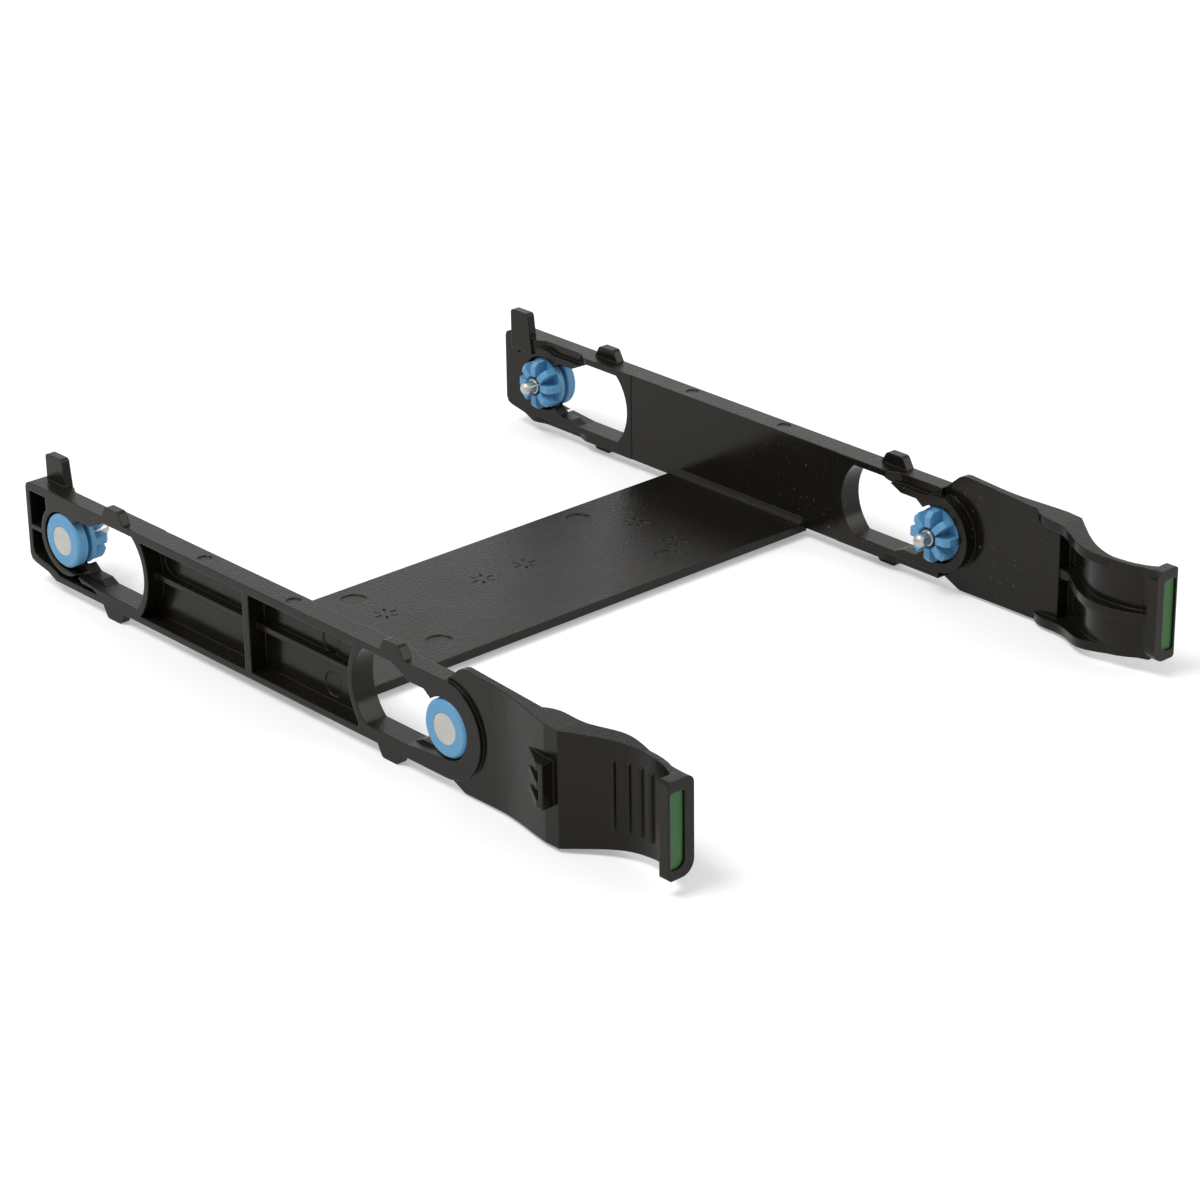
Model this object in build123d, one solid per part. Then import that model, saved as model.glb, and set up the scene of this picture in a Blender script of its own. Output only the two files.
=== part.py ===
from build123d import *
import math
import os

# Tool-less caddy for a 3.5-inch hard drive: one black moulding with two rails, a floor
# plate and two spring levers, four rubber isolators, four steel drive pins and two green
# inserts. X runs across, Y along the rails with the levers at the front (-Y), Z is up.
# While it is built, the origin lies midway between the four pins and heights are measured
# from their axis. The export moves it to the table, under the middle of the outline.

# The drive that the caddy holds
hole_spacing = 101.6
drive_width = 101.6

# Rails
rail_clearance = 1.85
rail_depth = 4.3
rear_reach = 10.4
rail_bottom = -8.4
rail_top = 8.2
web = 1.1
top_flange = 1.5
bottom_flange = 1.2
end_wall = 1.1
rear_corner = 1.1
heel_run = 7.4
heel_step_run = 5.2
heel_step = 1.0
heel_rise = 1.7
heel_corner = 1.4
front_solid = 8.25

# Keyhole windows, their lengths measured from the pin to the wide end
window_top = 7.05
window_bottom = -6.1
rear_window = 23.6
front_window = 22.6
window_bulge = 2.9
seat_radius = 3.4
lip_half = 2.9
top_step_out = 12.6
top_step_in = 8.5
top_step_z = 5.15
top_step_end = 4.9
bottom_step_out = 9.8
bottom_step_in = 8.0
bottom_step_z = 5.3
bottom_step_end = 4.8
rim = 1.1

# Ribs in the rail pockets
mid_rib_z = 0.7
mid_rib = 1.0
mid_rib_inset = 1.7
mid_rib_stop = 1.6
cross_rib_y = -0.9
cross_rib = 1.6
rear_rib = 0.8
seat_fill_front = 9.0
seat_fill_rear = 4.5

# Stand-off bumps on the outer edge of each rail
bump_height = 2.1
bump_base = 6.1
bump_crest = 3.7
bump_round = 0.8
bump_width = 1.7
rear_bump_in = 15.2
front_bump_in = 12.6
bottom_bump_shift = 1.2

# Upright tab and dimple at the rear of each rail
tab_out = 8.2
tab_length = 5.8
tab_width = 1.6
tab_proud = 0.45
tab_foot = 3.0
tab_height = 4.8
tab_slope = 1.0
tab_round = 0.7
dimple_in = 4.0
dimple_z = 5.2
dimple_radius = 0.6
dimple_depth = 0.5

# Hollows beside the inner rings, where the flanges are narrower
relief_depth = 1.1
relief_height = 1.9
bottom_relief_depth = 0.7
bottom_relief_height = 1.25
relief_in = 12.4
relief_out = 2.4
relief_blend = 3.2

# Floor plate
plate_rear = 15.4
plate_front = -18.6
plate_top = -7.8
plate = 1.6
plate_fillet = 1.1

# Shallow marks of the mould's ejector pins and gates
mark_depth = 0.15
ejector_radius = 2.3
plate_ejectors = ((25.7, 10.8), (25.9, -12.1))
web_ejectors = ((23.3, 3.6), (-19.1, 3.1), (-19.2, -4.3))
web_ejector_radius = 2.1
web_step = 0.12
flange_ejectors = (12.1, -11.5)
flange_ejector_x = 2.4
flange_ejector_radius = 1.3
plate_stars = ((-25.5, 2.4), (-4.2, 2.2), (5.4, 2.0), (32.1, 2.3), (31.2, -8.7))
star_rays = 6
star_radius = 2.2
star_ray = 1.3
star_ray_width = 0.45

# Lever in plan, lengths from the front pin towards the end block
lever_skin = 1.3
lever_cut_reach = 10.0
lever_set_back = 0.7
flat_length = 11.0
flare_length = 13.4
flare_out = 1.95
flare_slope = 0.13
land_length = 3.0
slope_length = 12.0
dip_depth = 6.2
ridge_lean = 0.75
tail_length = 8.0
tail_rise = 2.5
panel = 0.9
recess_run = 1.8

# Lever seen from the side
lever_rise = 3.1
lever_corner = 3.5
lever_corner_round = 3.0
lever_foot = -10.0
lever_foot_round = 1.2
ridge_top = 9.7
ridge_foot = -9.8
dip_top = 8.4
dip_foot = -8.6

# Stiffening ribs on the lever's inner side
rib = 1.6
rib_start = 4.2
rib_at_land = 4.7
rib_at_ridge = 4.95
rib_at_bend = 3.1
rib_at_dip = 1.15
mid_rib_depth = 3.0
lever_mid_rib_z = -0.05

# End block of the lever and its coloured insert
block_inset = 0.45
block_length = 2.05
block_width = 5.1
block_bottom = -7.6
block_top = 8.5
block_low_corner = 2.5
block_high_corner = 1.4
block_outer_corner = 0.6
insert_width = 2.8
insert_height = 12.6
insert_side_wall = 0.4
insert_length = 1.1
insert_recess = 0.4
insert_low_corner = 1.5
insert_corner = 0.5

# Latch wedge on the lever's outer face
wedge_behind_ridge = 1.0
wedge_length = 6.7
wedge_land = 1.5
wedge_out = 2.2
wedge_bottom = -3.0
wedge_top = 4.45
wedge_wall = 0.9
wedge_rib = 1.2
wedge_ribs = 3
wedge_root = 0.6

# Grip ribs in the hollow of the lever
grip_count = 4
grip_first = 6.8
grip_pitch = 2.33
grip_radius = 0.45
grip_bottom = -5.5
grip_top = 5.3
grip_seam = 200

# Isolators and drive pins
flange_radius = 4.85
flange_thick = 2.0
flange_edge = 0.4
flange_proud = 0.1
seat_wall = 0.7
seat_clearance = 0.35
crown_radius = 4.75
crown_disc = 0.9
ring_width = 1.7
fin_count = 8
fin_radius = 4.6
fin_thick = 1.3
fin_length = 2.95
fin_corner = 0.8
hub_radius = 1.95
hub_length = 1.2
gap = 0.1
shank_radius = 1.4
pin_radius = 1.2
pin_reach = 3.2
pin_shoulder = 0.05
pin_tip_round = 1.0
head_radius = 2.6
head_thick = 0.9
press_gap = 0.03

# Values that follow from the ones above
inner = drive_width / 2 + rail_clearance
outer = inner + rail_depth
pocket_floor = inner + web
hole_y = hole_spacing / 2
rail_rear = hole_y + rear_reach
flange_face = outer + flange_proud
seat_floor = flange_face - flange_thick - gap
crown_back = seat_floor - seat_wall
ring_bore = flange_radius + seat_clearance
ring_radius = ring_bore + ring_width
disc_front = crown_back - gap - crown_disc
fin_tip = disc_front - fin_length
pin_tip = drive_width / 2 - pin_reach
lever_outer = outer - lever_set_back
lever_inner = lever_outer - lever_skin
lever_top = rail_top + lever_rise
land_x = lever_outer + flare_out
dip_x = land_x - dip_depth
flare_y = -hole_y - flat_length
land_y = flare_y - flare_length
ridge_y = land_y - land_length
dip_y = ridge_y - slope_length
tail_y = dip_y - tail_length
recess_y = ridge_y + recess_run
block_front = tail_y - block_length
block_outer = outer - block_inset
block_inner = block_outer - block_width
joint_y = tail_y - 0.35
insert_outer = block_outer - insert_side_wall
insert_mid_z = (block_top + block_bottom) / 2 - 0.15


def side_face(line):
    """A face in the YZ plane from a closed line drawn with (y, z) points."""
    return make_face(Plane.YZ * line)


def bar(face, start, end):
    """Extrude a YZ face from x = start to x = end."""
    return extrude(Pos(start, 0, 0) * face, amount=end - start, dir=(1, 0, 0))


def block(x0, x1, y0, y1, z0, z1):
    """A box between two corners."""
    size = (x1 - x0, y1 - y0, z1 - z0)
    return Pos((x0 + x1) / 2, (y0 + y1) / 2, (z0 + z1) / 2) * Box(*size)


def disc(x0, x1, y, z, radius):
    """A cylinder along X between x0 and x1."""
    return Pos((x0 + x1) / 2, y, z) * Rot(0, 90, 0) * Cylinder(radius, x1 - x0)


def heel(wall, floor):
    """Points of the sloping rear underside of a rail, moved in by a wall and a floor."""
    y = rail_rear - wall
    z = rail_bottom + floor
    return [
        (y, z + heel_rise + heel_corner),
        (y - heel_corner * 0.3, z + heel_rise + heel_corner * 0.3),
        (y - heel_corner, z + heel_rise),
        (y - heel_step_run, z + heel_step),
        (y - heel_run, z),
    ]


def rail_line():
    """Side outline of a rail: sloping up at the rear, round about the front pin."""
    mid = (rail_top + rail_bottom) / 2
    front = -hole_y - (rail_top - rail_bottom) / 2
    outline = Polyline(
        (-hole_y, rail_top),
        (rail_rear - rear_corner, rail_top),
        (rail_rear - rear_corner * 0.3, rail_top - rear_corner * 0.3),
        (rail_rear, rail_top - rear_corner),
        *heel(0, 0),
        (-hole_y, rail_bottom),
    )
    return outline + ThreePointArc((-hole_y, rail_bottom), (front, mid), (-hole_y, rail_top))


def window_line(sign, length, grow=0.0):
    """Keyhole outline: wide rounded end towards the middle, stepped neck, round seat."""
    def at(y, z):
        return (sign * y, z)
    top = window_top + grow
    bottom = window_bottom - grow
    mouth = hole_y - length - grow
    seat = seat_radius + grow
    lip = lip_half + grow
    lip_y = hole_y - math.sqrt(seat ** 2 - lip ** 2)
    upper = Polyline(
        at(mouth + window_bulge, top),
        at(hole_y - top_step_out, top),
        at(hole_y - top_step_in, top_step_z + grow),
        at(hole_y - top_step_end, top_step_z + grow),
        at(lip_y, lip),
    )
    seat_arc = ThreePointArc(at(lip_y, lip), at(hole_y + seat, 0), at(lip_y, -lip))
    lower = Polyline(
        at(lip_y, -lip),
        at(hole_y - bottom_step_end, -bottom_step_z - grow),
        at(hole_y - bottom_step_in, -bottom_step_z - grow),
        at(hole_y - bottom_step_out, bottom),
        at(mouth + window_bulge, bottom),
    )
    mouth_arc = ThreePointArc(at(mouth + window_bulge, bottom), at(mouth, (top + bottom) / 2),
                              at(mouth + window_bulge, top))
    return upper + seat_arc + lower + mouth_arc


def sill_line(sign):
    """The wider opening in the outer half of the rail, below the neck of a keyhole."""
    near = hole_y - bottom_step_out
    points = ((near, window_bottom), (hole_y, -ring_bore), (hole_y, 0), (near, 0),
              (near, window_bottom))
    return Polyline(*[(sign * y, z) for y, z in points])


def windows():
    """Both keyhole windows of a rail as (sign, length) pairs."""
    return ((1, rear_window), (-1, front_window))


def pockets():
    """Hollows in the rail's outer side, between flanges, rims and ribs."""
    floor = rail_bottom + bottom_flange
    roof = rail_top - top_flange
    line = Polyline((-hole_y, roof), (rail_rear - end_wall, roof),
                    *heel(end_wall, bottom_flange), (-hole_y, floor), (-hole_y, roof))
    hollow = bar(side_face(line), pocket_floor, outer)
    hollow -= block(pocket_floor, outer, cross_rib_y - cross_rib / 2, cross_rib_y + cross_rib / 2,
                    floor, roof)
    rib_end = hole_y - front_window - rim - mid_rib_stop
    hollow -= block(pocket_floor, outer - mid_rib_inset, -rib_end, hole_y - rear_window,
                    mid_rib_z - mid_rib / 2, mid_rib_z + mid_rib / 2)
    hollow -= block(pocket_floor, outer, hole_y, rail_rear, -rear_rib / 2, rear_rib / 2)
    for sign, length in windows():
        hollow -= bar(side_face(window_line(sign, length, rim)), pocket_floor, outer)
    hollow -= disc(pocket_floor, outer, hole_y, 0, ring_bore + rim)
    hollow -= block(pocket_floor, outer, hole_y - seat_fill_front, hole_y + seat_fill_rear,
                    0, roof)
    return hollow - block(pocket_floor, outer, -hole_y - front_solid,
                          -hole_y + front_window - rim, floor, roof)


def bumps():
    """Stand-offs above and below a rail, at its outer face."""
    made = []
    for start in (hole_y - rear_bump_in, front_bump_in - hole_y):
        for edge, way in ((rail_top, 1), (rail_bottom, -1)):
            y = start if way > 0 else start + bottom_bump_shift
            crest = edge + way * bump_height
            line = Polyline((y - bump_base / 2, edge), (y - bump_crest / 2, crest),
                            (y + bump_crest / 2, crest), (y + bump_base / 2, edge),
                            (y - bump_base / 2, edge))
            solid = bar(side_face(line), outer - bump_width, outer)
            ends = solid.edges().filter_by(Axis.X).group_by(Axis.Z)[-1 if way > 0 else 0]
            made.append(fillet(ends, bump_round))
    return made


def tab():
    """Upright blade on the inner side of the rail's rear end."""
    rear = hole_y + tab_out
    front = rear - tab_length
    foot = rail_top - tab_foot
    line = Polyline((rear, foot), (rear, rail_top + tab_height),
                    (front + tab_slope, rail_top + tab_height), (front, foot), (rear, foot))
    blade = bar(side_face(line), inner - tab_proud, inner - tab_proud + tab_width)
    return fillet(blade.edges().filter_by(Axis.X).group_by(Axis.Z)[-1], tab_round)


def relief(sign, deep):
    """Plan of the cut that narrows a flange beside a seat, with smooth ends."""
    start = hole_y - relief_in
    end = hole_y + relief_out
    blend_in = Spline((inner, start), (inner + deep, start + relief_blend),
                      tangents=((0, 1), (0, 1)))
    blend_out = Spline((inner + deep, end - relief_blend), (inner, end),
                       tangents=((0, 1), (0, 1)))
    middle = Line(blend_in @ 1, blend_out @ 0)
    back = Polyline((inner, end), (inner - 1, end), (inner - 1, start), (inner, start))
    face = make_face(blend_in + middle + blend_out + back)
    return face if sign > 0 else mirror(face, about=Plane.XZ)


def reliefs():
    """Cuts above and below each inner ring, and round the front ring's free side."""
    cuts = []
    for sign in (1, -1):
        top = extrude(Pos(0, 0, rail_top - relief_height) * relief(sign, relief_depth),
                      amount=relief_height + 1, dir=(0, 0, 1))
        bottom = extrude(Pos(0, 0, rail_bottom - 1) * relief(sign, bottom_relief_depth),
                         amount=1 + bottom_relief_height, dir=(0, 0, 1))
        cuts += [top, bottom]
    cuts.append(block(inner - 1, lever_inner, -hole_y - front_solid - 1, -hole_y,
                      rail_bottom - 1, rail_top + 1))
    return cuts


def hollow_line(shift):
    """Plan line of the finger hollow, from the ridge to the end block, shifted inwards."""
    bend = (dip_x + 0.24 * dip_depth - shift, ridge_y - 0.55 * slope_length)
    slope = Spline((land_x - shift, ridge_y), bend, (dip_x - shift, dip_y),
                   tangents=((-ridge_lean, -1), (0, -1)))
    tail = Spline((dip_x - shift, dip_y), (dip_x + tail_rise - shift, joint_y),
                  tangents=((0, -1), (0.8, -1)))
    return slope + tail


def lever_section():
    """Plan of the lever's skin: flat inside, with a recess behind the ridge."""
    face_line = hollow_line(0)
    panel_line = hollow_line(panel * 1.2)
    recess_x = land_x - panel * 1.2
    straight = Line((lever_outer, -hole_y), (lever_outer, flare_y))
    flare = Spline((lever_outer, flare_y), (land_x, land_y),
                   tangents=((0, -1), (flare_slope, -1)))
    land = Line((land_x, land_y), (land_x, ridge_y))
    inside = Polyline((lever_outer, -hole_y), (lever_inner, -hole_y), (lever_inner, recess_y),
                      (recess_x, recess_y - 0.4), (recess_x, ridge_y))
    end = Line(face_line @ 1, panel_line @ 1)
    return make_face(straight + flare + land + face_line + end + panel_line + inside)


def edge_rib_section():
    """Plan of the ribs along the lever's top and bottom, from the skin to their inner edge."""
    line = hollow_line(panel / 2)
    start = (lever_inner + 0.3, land_y + rib_start)
    skin_x = land_x - panel / 2
    back = Polyline(start, (skin_x, land_y - 0.5), (skin_x, ridge_y))
    edge = Spline(start, (land_x - rib_at_land, land_y + 1), (land_x - rib_at_ridge, ridge_y),
                  (dip_x + 0.24 * dip_depth - rib_at_bend, ridge_y - 0.55 * slope_length),
                  (dip_x - rib_at_dip, dip_y), (block_inner + 0.8, joint_y))
    return make_face(back + line + Line(line @ 1, edge @ 1) + edge)


def mid_rib_section():
    """Plan of the deeper rib at half height."""
    line = hollow_line(panel / 2)
    edge = hollow_line(mid_rib_depth)
    skin_x = land_x - panel / 2
    start_y = recess_y + 0.6
    back = Polyline(edge @ 0, (lever_inner + 0.3, start_y), (skin_x, start_y), (skin_x, ridge_y))
    return make_face(back + line + Line(line @ 1, edge @ 1) + edge)


def lever_profile():
    """Side outline of the lever with its sloping top and bottom edges."""
    corner = -hole_y - lever_corner
    face = side_face(Polyline(
        (-hole_y, rail_top),
        (corner, lever_top),
        (ridge_y, ridge_top),
        (dip_y, dip_top),
        (joint_y, block_top - 0.1),
        (joint_y, block_bottom + 0.1),
        (dip_y, dip_foot),
        (ridge_y, ridge_foot),
        (corner, lever_foot),
        (-hole_y, rail_bottom),
        (-hole_y, rail_top),
    ))
    for z, radius in ((lever_top, lever_corner_round), (lever_foot, lever_foot_round)):
        face = fillet(face.vertices().sort_by_distance((0, corner, z))[0], radius)
    return face


def latch_wedge():
    """Ramp of thin ribs behind a steep front wall, which latches in the drive bay."""
    tip = land_x + wedge_out
    front = ridge_y + wedge_behind_ridge
    wall = front + wedge_wall
    heel_y = front + wedge_length
    root = land_x - wedge_root
    made = [block(root, tip, front, wall, wedge_bottom, wedge_top)]
    step = (wedge_top - wedge_bottom - wedge_rib) / (wedge_ribs - 1)
    ramp = make_face(Polyline((lever_outer, heel_y), (lever_outer + flare_out / 2, heel_y),
                              (tip, front + wedge_land), (tip, wall), (root, wall),
                              (lever_outer, heel_y)))
    for index in range(wedge_ribs):
        made.append(extrude(Pos(0, 0, wedge_bottom + index * step) * ramp, amount=wedge_rib))
    return made


def surface_x(y):
    """Where the finger hollow's surface lies across the caddy at a place along it."""
    line = Wire(hollow_line(0).edges())
    low, high = 0.0, 1.0
    if (line @ 0).Y < (line @ 1).Y:
        low, high = high, low
    for _ in range(30):
        middle = (low + high) / 2
        if (line @ middle).Y > y:
            low = middle
        else:
            high = middle
    return (line @ low).X


def grip_ribs():
    """Thin upright ribs with round ends in the hollow where a finger pulls."""
    r = grip_radius
    side_line = Line((r, grip_bottom), (r, grip_top))
    top = ThreePointArc((r, grip_top), (r * math.sqrt(0.5), grip_top + r * math.sqrt(0.5)),
                        (0, grip_top + r))
    bottom = ThreePointArc((0, grip_bottom - r),
                           (r * math.sqrt(0.5), grip_bottom - r * math.sqrt(0.5)),
                           (r, grip_bottom))
    core = Line(top @ 1, bottom @ 0)
    rod = revolve(make_face(Plane.XZ * (side_line + top + core + bottom)), axis=Axis.Z)
    made = []
    for index in range(grip_count):
        y = ridge_y - grip_first - index * grip_pitch
        x = surface_x(y)
        made.append(Pos(x, y, 0) * Rot(0, 0, grip_seam) * rod)
    return made


def rounded_bar(x, y, z, low, high, outside):
    """Bar along Y between pairs of limits, its inner low and high and outer edges rounded."""
    face = Pos(sum(x) / 2, sum(z) / 2) * Rectangle(x[1] - x[0], z[1] - z[0])
    corners = ((x[0], z[0], low), (x[0], z[1], high), (x[1], z[0], outside), (x[1], z[1], outside))
    for across, up, radius in corners:
        face = fillet(face.vertices().sort_by_distance((across, up, 0))[0], radius)
    return extrude(Plane.XZ.offset(-y[1]) * face, amount=y[1] - y[0])


def insert_shape(front, rear, grow):
    """Rounded bar that fills the socket of the end block."""
    half = insert_height / 2 + grow
    return rounded_bar((insert_outer - insert_width - grow, insert_outer + grow), (front, rear),
                       (insert_mid_z - half, insert_mid_z + half),
                       insert_low_corner + grow, insert_corner + grow, insert_corner + grow)


def end_block():
    """Rounded end of the lever with the socket for the coloured insert."""
    solid = rounded_bar((block_inner, block_outer), (block_front, tail_y),
                        (block_bottom, block_top), block_low_corner, block_high_corner,
                        block_outer_corner)
    depth = insert_recess + insert_length
    return solid - insert_shape(block_front - 1, block_front + depth, press_gap)


def lever():
    """Spring lever: flared skin, three stiffening ribs, latch wedge, grip ribs, end block."""
    outline = lever_profile()
    low = lever_foot - 1
    tall = lever_top - low + 1

    def raised(face):
        return extrude(Pos(0, 0, low) * face, amount=tall)

    inside, outside = inner - lever_cut_reach, outer + lever_cut_reach
    whole = bar(outline, inside, outside)
    panels = bar(offset(outline, -rib), inside, outside)
    body = raised(lever_section()) & whole
    body += (raised(edge_rib_section()) & whole) - panels
    middle = block(0, outside, block_front, 0, lever_mid_rib_z - rib / 2,
                   lever_mid_rib_z + rib / 2)
    body += raised(mid_rib_section()) & middle
    for piece in latch_wedge() + grip_ribs():
        body += piece
    return body + end_block()


def web_marks():
    """Ejector marks in the web and the top flange, and the shallow step between the windows."""
    cuts = []
    for y, z in web_ejectors:
        cuts.append(disc(pocket_floor - mark_depth, pocket_floor + mark_depth, y, z,
                         web_ejector_radius))
    for y in flange_ejectors:
        cuts.append(Pos(inner + flange_ejector_x, y, rail_top)
                    * Cylinder(flange_ejector_radius, 2 * mark_depth))
    cuts.append(block(inner - 1, inner + web_step, front_window + rim - hole_y,
                      hole_y - rear_window - rim, rail_bottom - 1, rail_top + 1))
    return cuts


def side():
    """Right-hand half of the moulding: rail, bumps, tab and lever."""
    outline = bar(side_face(rail_line()), inner, outer)
    body = outline - pockets()
    for cut in web_marks():
        body -= cut
    for cut in reliefs():
        body -= cut
    for y in (hole_y, -hole_y):
        body += disc(inner, seat_floor, y, 0, ring_radius) & outline
    body += lever()
    for sign, length in windows():
        body -= bar(side_face(window_line(sign, length)), inner - 1, outer + 1)
        body -= bar(side_face(sill_line(sign)), seat_floor, outer + 1)
        y = sign * hole_y
        body -= disc(seat_floor, outer + 1, y, 0, ring_bore)
        body -= disc(inner - 1, crown_back, y, 0, ring_bore)
    for bump in bumps():
        body += bump
    body -= disc(inner - 1, inner + dimple_depth, rail_rear - dimple_in, dimple_z, dimple_radius)
    return body + tab()


def plate_marks():
    """Shallow round and star-shaped marks in the plate's upper side."""
    cuts = []
    middle = plate_top + mark_depth / 2
    for x, y in plate_ejectors:
        for side_sign in (1, -1):
            cuts.append(Pos(side_sign * x, y, middle) * Cylinder(ejector_radius, 3 * mark_depth))
    for x, y in plate_stars:
        for index in range(star_rays):
            ray = Pos(star_radius - star_ray / 2, 0, 0) * Box(star_ray, star_ray_width,
                                                              3 * mark_depth)
            cuts.append(Pos(x, y, middle) * Rot(0, 0, 360 / star_rays * index) * ray)
    return cuts


def floor_plate():
    """Plate between the rails, with a small fillet along each of them."""
    reach = inner + web
    body = block(-reach, reach, plate_front, plate_rear, plate_top - plate, plate_top)
    for cut in plate_marks():
        body -= cut
    bend = plate_fillet * (1 - math.sqrt(0.5))
    arc = ThreePointArc((inner, plate_top + plate_fillet), (inner - bend, plate_top + bend),
                        (inner - plate_fillet, plate_top))
    foot = Polyline(arc @ 1, (inner - plate_fillet, plate_top - plate / 2),
                    (inner + web / 2, plate_top - plate / 2),
                    (inner + web / 2, plate_top + plate_fillet), arc @ 0)
    strip = extrude(Plane.XZ.offset(-plate_rear) * make_face(arc + foot),
                    amount=plate_rear - plate_front)
    return body + strip + mirror(strip, about=Plane.YZ)


def frame():
    """The whole black moulding."""
    right = side()
    return right + mirror(right, about=Plane.YZ) + floor_plate()


def isolator():
    """Rubber isolator for the right-hand rear seat: flange, neck, disc and finned crown."""
    neck = seat_radius - gap
    bore = shank_radius + press_gap
    recess = head_radius + press_gap
    profile = Polyline(
        (disc_front, bore),
        (disc_front, crown_radius),
        (crown_back - gap, crown_radius),
        (crown_back - gap, neck),
        (seat_floor + gap, neck),
        (seat_floor + gap, flange_radius),
        (flange_face - flange_edge, flange_radius),
        (flange_face, flange_radius - flange_edge),
        (flange_face, recess),
        (flange_face - head_thick, recess),
        (flange_face - head_thick, bore),
        (disc_front, bore),
    )
    body = revolve(make_face(profile), axis=Axis.X)
    hub = disc(disc_front - hub_length, disc_front, 0, 0, hub_radius)
    body += hub - disc(disc_front - hub_length, disc_front, 0, 0, bore)
    root = bore + 0.1
    fin = Polyline((disc_front, root), (disc_front, fin_radius),
                   (fin_tip + fin_corner, fin_radius), (fin_tip, fin_radius - fin_corner),
                   (fin_tip, hub_radius), (disc_front - hub_length, root), (disc_front, root))
    blade = extrude(Pos(0, 0, -fin_thick / 2) * make_face(fin), amount=fin_thick)
    for index in range(fin_count):
        body += Rot(360 / fin_count * index, 0, 0) * blade
    return Pos(0, hole_y, 0) * body


def drive_pin():
    """Steel pin for the right-hand rear seat: flat head, shank, and a thinner rounded end."""
    shoulder = fin_tip - pin_shoulder
    profile = Polyline(
        (flange_face, 0),
        (flange_face, head_radius),
        (flange_face - head_thick + press_gap, head_radius),
        (flange_face - head_thick + press_gap, shank_radius),
        (shoulder, shank_radius),
        (shoulder, pin_radius),
        (pin_tip, pin_radius),
        (pin_tip, 0),
        (flange_face, 0),
    )
    solid = revolve(make_face(profile), axis=Axis.X)
    solid = fillet(solid.edges().filter_by(GeomType.CIRCLE).group_by(Axis.X)[0], pin_tip_round)
    return Pos(0, hole_y, 0) * solid


def green_insert():
    """Coloured bar in the end block of the right-hand lever."""
    start = block_front + insert_recess
    return insert_shape(start, start + insert_length, 0)


def main():
    os.makedirs("parts", exist_ok=True)
    nodes = {"caddy_frame": frame()}
    for name, piece in (("isolator", isolator()), ("drive_pin", drive_pin())):
        front = Pos(0, -hole_spacing, 0) * piece
        nodes[name + "_rear_right"] = piece
        nodes[name + "_front_right"] = front
        nodes[name + "_rear_left"] = mirror(piece, about=Plane.YZ)
        nodes[name + "_front_left"] = mirror(front, about=Plane.YZ)
    insert = green_insert()
    nodes["lever_insert_right"] = insert
    nodes["lever_insert_left"] = mirror(insert, about=Plane.YZ)
    box = Compound([solid for piece in nodes.values() for solid in piece.solids()]).bounding_box()
    middle = (box.min.Y + box.max.Y) / 2
    for name, piece in nodes.items():
        export_step(Pos(0, -middle, -box.min.Z) * piece, f"parts/{name}.step")


main()
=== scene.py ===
import math

import bpy
from mathutils import Matrix, Vector

# Looks of the hard drive caddy: materials on the CAD nodes, a white floor, soft studio light
# and the camera at the photo's viewing angle. All lengths are in metres, and colours are linear.

# Camera, worked out from the pins' known spacing in the photo
PHOTO_PX = 1200
CAMERA_AT = (-0.38241, -0.429425, 0.26042)
CAMERA_LOOKS = (-0.04422, -0.053295, 0.03174)
CAMERA_ROLL = math.radians(-0.773)
FOCAL_PX = 3735.6
PRINCIPAL_PX = (601.75, 621.34)
SENSOR_MM = 36.0

# Fineness of the plastics' noise textures, in cells per metre
DRIFT_CELLS = 60.0
WEAR_CELLS = 300.0
DUST_PATCH_CELLS = 28.0
SPECK_CELLS = 1900.0
GLOSS_CELLS = 110.0
GRAIN_CELLS = 2600.0
WAVE_CELLS = 45.0
ETCH_CELLS = 2500.0

# Relief of the plastics: strength and depth of each layer, and how level an etched face is
GRAIN = (0.3, 0.00004)
WAVE = (0.35, 0.0003)
ETCH_DEPTH = 0.00014
ETCHED_LEVEL = (0.8, 0.98)
DUST = (0.30, 0.29, 0.27)
SOFT_DEPTH = 0.001

# Zinc-plated steel
STEEL_DARK = (0.40, 0.40, 0.38)
STEEL_LIGHT = (0.55, 0.54, 0.51)
STEEL_ROUGH = (0.28, 0.46)
STEEL_EDGE = 0.00015
STEEL_GRAIN = (0.25, 0.00003)

# Rounding that the shading gives to sharp edges
BEVEL_SAMPLES = 6
EDGE_DOT = 0.86

# Floor, surroundings and lamps
FLOOR_SIZE = 4.0
FLOOR_LIFT = 0.3
WORLD_LIGHT = 0.5
LAMPS = {
    "key": {"at": (-1.0, 0.3, 1.9), "size": 0.8, "watts": 26.0},
    "fill": {"at": (1.2, -1.6, 1.2), "size": 1.2, "watts": 12.0},
}

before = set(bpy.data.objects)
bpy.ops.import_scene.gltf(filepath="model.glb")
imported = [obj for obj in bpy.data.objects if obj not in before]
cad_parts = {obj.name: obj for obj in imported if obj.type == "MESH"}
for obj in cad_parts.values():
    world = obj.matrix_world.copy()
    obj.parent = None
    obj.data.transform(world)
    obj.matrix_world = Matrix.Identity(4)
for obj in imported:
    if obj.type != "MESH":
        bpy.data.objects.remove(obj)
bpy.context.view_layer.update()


def new_material(name):
    """A new material and its empty node tree."""
    material = bpy.data.materials.new(name)
    material.use_nodes = True
    tree = material.node_tree
    tree.nodes.clear()
    return material, tree


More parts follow.
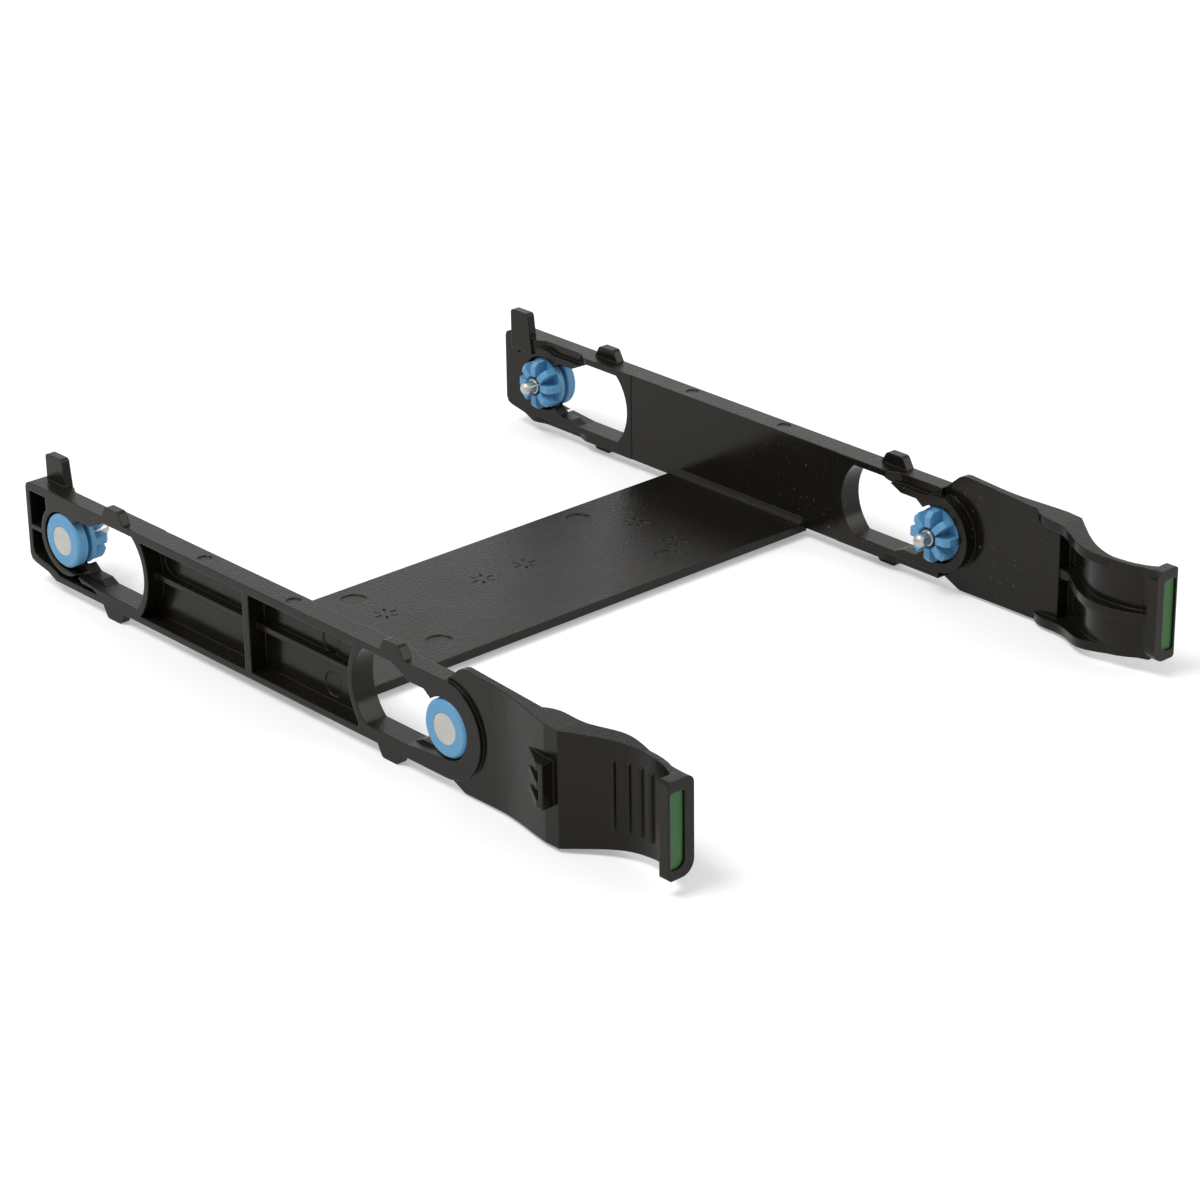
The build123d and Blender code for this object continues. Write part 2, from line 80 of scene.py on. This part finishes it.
def add(tree, kind, settings=None, **inputs):
    """Add a node, set its properties and its inputs: a value, or a socket to link from.

    An input goes by its name with _ for a space, or by its place as i0, i1 and so on.
    """
    node = tree.nodes.new(kind)
    for key, value in (settings or {}).items():
        setattr(node, key, value)
    for key, value in inputs.items():
        by_place = key[0] == "i" and key[1:].isdigit()
        socket = node.inputs[int(key[1:]) if by_place else key.replace("_", " ")]
        if isinstance(value, bpy.types.NodeSocket):
            tree.links.new(value, socket)
        else:
            socket.default_value = value
    return node


def maths(tree, operation, *values):
    """Result of a maths node on one or two values."""
    places = {f"i{place}": value for place, value in enumerate(values)}
    return add(tree, "ShaderNodeMath", {"operation": operation}, **places).outputs[0]


def noise(tree, where, scale, detail=3.0, roughness=0.5):
    """Value of a noise texture, 0 to 1."""
    node = add(tree, "ShaderNodeTexNoise", Vector=where, Scale=scale, Detail=detail,
               Roughness=roughness)
    return node.outputs["Fac"]


def ramp(tree, value, low, high, start, end):
    """Map value from low..high to start..end, clamped."""
    node = add(tree, "ShaderNodeMapRange", i0=value, i1=low, i2=high, i3=start, i4=end)
    return node.outputs[0]


def mixed(tree, factor, first, second):
    """Blend two colours, each a tuple or a socket, by a factor socket."""
    first, second = ((*colour, 1.0) if isinstance(colour, tuple) else colour
                     for colour in (first, second))
    node = add(tree, "ShaderNodeMix", {"data_type": "RGBA"}, i0=factor, i6=first, i7=second)
    return node.outputs[2]


def rounded(tree, radius):
    """Normal that looks as if sharp edges were rounded to a radius."""
    return add(tree, "ShaderNodeBevel", {"samples": BEVEL_SAMPLES}, Radius=radius).outputs[0]


def edges(tree, radius):
    """How far a spot lies on a sharp edge: 0 on flats, rising towards 1 on edges."""
    shape = add(tree, "ShaderNodeNewGeometry")
    dot = add(tree, "ShaderNodeVectorMath", {"operation": "DOT_PRODUCT"},
              i0=rounded(tree, radius), i1=shape.outputs["Normal"])
    return ramp(tree, dot.outputs["Value"], 1.0, EDGE_DOT, 0.0, 1.0)


def bumped(tree, height, strength, distance, normal):
    """Normal with a height added as bump."""
    node = add(tree, "ShaderNodeBump", Height=height, Strength=strength, Distance=distance,
               Normal=normal)
    return node.outputs["Normal"]


def shade(tree, **inputs):
    """End a material's tree in a Principled shader with these inputs."""
    shader = add(tree, "ShaderNodeBsdfPrincipled", **inputs)
    add(tree, "ShaderNodeOutputMaterial", Surface=shader.outputs[0])


def plastic_colour(tree, where, dark, light, worn, edge_radius, specks):
    """Base colour: slow drift, paler worn edges and patches of dust specks."""
    base = mixed(tree, noise(tree, where, DRIFT_CELLS, 4.0), dark, light)
    wear = ramp(tree, noise(tree, where, WEAR_CELLS), 0.35, 0.7, 0.15, 0.8)
    worn_part = maths(tree, "MULTIPLY", edges(tree, edge_radius), wear)
    patches = ramp(tree, noise(tree, where, DUST_PATCH_CELLS, 2.0), 0.52, 0.66, 0.0, specks)
    dots = ramp(tree, noise(tree, where, SPECK_CELLS, 2.0), 0.70, 0.76, 0.0, 1.0)
    dusty = maths(tree, "MULTIPLY", patches, dots)
    return mixed(tree, dusty, mixed(tree, worn_part, base, worn), DUST)


def plastic_normal(tree, where, edge_radius, etched):
    """Relief: soft edges, fine grain, slow waves and the mould's etching.

    The etching shows on faces that look up or down, as on the plate and the rails' tops.
    """
    fine = bumped(tree, noise(tree, where, GRAIN_CELLS, 2.0), *GRAIN, rounded(tree, edge_radius))
    wavy = bumped(tree, noise(tree, where, WAVE_CELLS, 2.0), *WAVE, fine)
    facing = add(tree, "ShaderNodeSeparateXYZ",
                 Vector=add(tree, "ShaderNodeTexCoord").outputs["Normal"]).outputs["Z"]
    level = ramp(tree, maths(tree, "ABSOLUTE", facing), *ETCHED_LEVEL, 0.0, etched)
    return bumped(tree, noise(tree, where, ETCH_CELLS, 2.0, 0.6), level, ETCH_DEPTH, wavy)


def moulded(name, dark, light, worn, rough, specular, edge_radius=0.0003, subsurface=0.0,
            tint=(1.0, 1.0, 1.0), specks=0.0, etched=0.0):
    """Moulded plastic or rubber."""
    material, tree = new_material(name)
    where = add(tree, "ShaderNodeTexCoord").outputs["Object"]
    gloss = ramp(tree, noise(tree, where, GLOSS_CELLS, 5.0), 0.3, 0.7, *rough)
    shade(tree, Base_Color=plastic_colour(tree, where, dark, light, worn, edge_radius, specks),
          Roughness=gloss, Normal=plastic_normal(tree, where, edge_radius, etched),
          Specular_IOR_Level=specular, Specular_Tint=(*tint, 1.0),
          Subsurface_Weight=subsurface, Subsurface_Radius=(SOFT_DEPTH,) * 3)
    return material


def steel(name):
    """Zinc-plated steel: fine tumbled grain and slightly uneven gloss."""
    material, tree = new_material(name)
    where = add(tree, "ShaderNodeTexCoord").outputs["Object"]
    colour = mixed(tree, noise(tree, where, 400.0), STEEL_DARK, STEEL_LIGHT)
    gloss = ramp(tree, noise(tree, where, 700.0, 4.0), 0.3, 0.7, *STEEL_ROUGH)
    fine = bumped(tree, noise(tree, where, 3500.0, 3.0), *STEEL_GRAIN, rounded(tree, STEEL_EDGE))
    shade(tree, Base_Color=colour, Roughness=gloss, Metallic=1.0, Normal=fine)
    return material


def dress(nodes):
    """Give every CAD node the material of its kind."""
    kinds = {
        "caddy_frame": moulded(
            "black_plastic", dark=(0.0060, 0.0050, 0.0034), light=(0.0090, 0.0077, 0.0056),
            worn=(0.024, 0.021, 0.017), rough=(0.13, 0.26), specular=0.2,
            tint=(1.0, 0.97, 0.91), specks=0.5, etched=0.7),
        "isolator": moulded(
            "blue_rubber", dark=(0.105, 0.31, 0.53), light=(0.135, 0.365, 0.60),
            worn=(0.18, 0.42, 0.65), rough=(0.36, 0.52), specular=0.35, subsurface=0.1),
        "lever_insert": moulded(
            "green_plastic", dark=(0.028, 0.105, 0.028), light=(0.036, 0.125, 0.036),
            worn=(0.06, 0.16, 0.06), rough=(0.38, 0.52), specular=0.3, edge_radius=0.0002),
        "drive_pin": steel("pin_steel"),
    }
    for name, node in nodes.items():
        material = next(m for start, m in kinds.items() if name.startswith(start))
        node.data.materials.clear()
        node.data.materials.append(material)


def seen(tree):
    """1 for rays that show the background: from the camera, or off gloss and through glass."""
    path = add(tree, "ShaderNodeLightPath").outputs
    direct = maths(tree, "MAXIMUM", path["Is Camera Ray"], path["Is Glossy Ray"])
    return maths(tree, "MAXIMUM", direct, path["Is Transmission Ray"])


def make_floor():
    """A large pale floor that keeps the caddy's shadow and shows white away from it."""
    bpy.ops.mesh.primitive_plane_add(size=FLOOR_SIZE)
    floor = bpy.context.object
    floor.name = "floor"
    material, tree = new_material("floor_white")
    where = add(tree, "ShaderNodeTexCoord").outputs["Object"]
    tone = mixed(tree, noise(tree, where, 3.0), (0.80, 0.80, 0.80), (0.82, 0.82, 0.82))
    shade(tree, Base_Color=tone, Roughness=0.9, Emission_Color=(1.0, 1.0, 1.0, 1.0),
          Emission_Strength=ramp(tree, seen(tree), 0.0, 1.0, 0.0, FLOOR_LIFT))
    floor.data.materials.append(material)


def make_world():
    """White surroundings: full white where they are seen, softer as light on the object."""
    world = bpy.data.worlds.new("studio")
    bpy.context.scene.world = world
    world.use_nodes = True
    tree = world.node_tree
    tree.nodes.clear()
    level = ramp(tree, seen(tree), 0.0, 1.0, WORLD_LIGHT, 1.0)
    back = add(tree, "ShaderNodeBackground", Color=(1.0, 1.0, 1.0, 1.0), Strength=level)
    add(tree, "ShaderNodeOutputWorld", Surface=back.outputs[0])


def make_lamp(name, at, size, watts):
    """A square soft light that points at the middle of the caddy's footprint."""
    data = bpy.data.lights.new(name, "AREA")
    data.size = size
    data.energy = watts
    lamp = bpy.data.objects.new(name, data)
    lamp.location = at
    lamp.rotation_euler = (-Vector(at)).to_track_quat("-Z", "Y").to_euler()
    bpy.context.collection.objects.link(lamp)


def make_camera():
    """The photo's camera: place, roll and framing from the fit."""
    data = bpy.data.cameras.new("photo_camera")
    data.sensor_width = SENSOR_MM
    data.lens = SENSOR_MM * FOCAL_PX / PHOTO_PX
    data.shift_x = (PHOTO_PX / 2 - PRINCIPAL_PX[0]) / PHOTO_PX
    data.shift_y = (PRINCIPAL_PX[1] - PHOTO_PX / 2) / PHOTO_PX
    data.clip_start = 0.01
    camera = bpy.data.objects.new("photo_camera", data)
    ahead = (Vector(CAMERA_LOOKS) - Vector(CAMERA_AT)).normalized()
    right = ahead.cross(Vector((0, 0, 1))).normalized()
    up = right.cross(ahead)
    rolled_right = right * math.cos(CAMERA_ROLL) + up * math.sin(CAMERA_ROLL)
    rolled_up = up * math.cos(CAMERA_ROLL) - right * math.sin(CAMERA_ROLL)
    turn = Matrix((rolled_right, rolled_up, -ahead)).transposed()
    camera.matrix_world = Matrix.Translation(CAMERA_AT) @ turn.to_4x4()
    bpy.context.collection.objects.link(camera)
    bpy.context.scene.camera = camera


dress(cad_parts)
make_floor()
make_world()
for lamp_name, settings in LAMPS.items():
    make_lamp(lamp_name, **settings)
make_camera()
bpy.context.scene.view_settings.view_transform = "Standard"
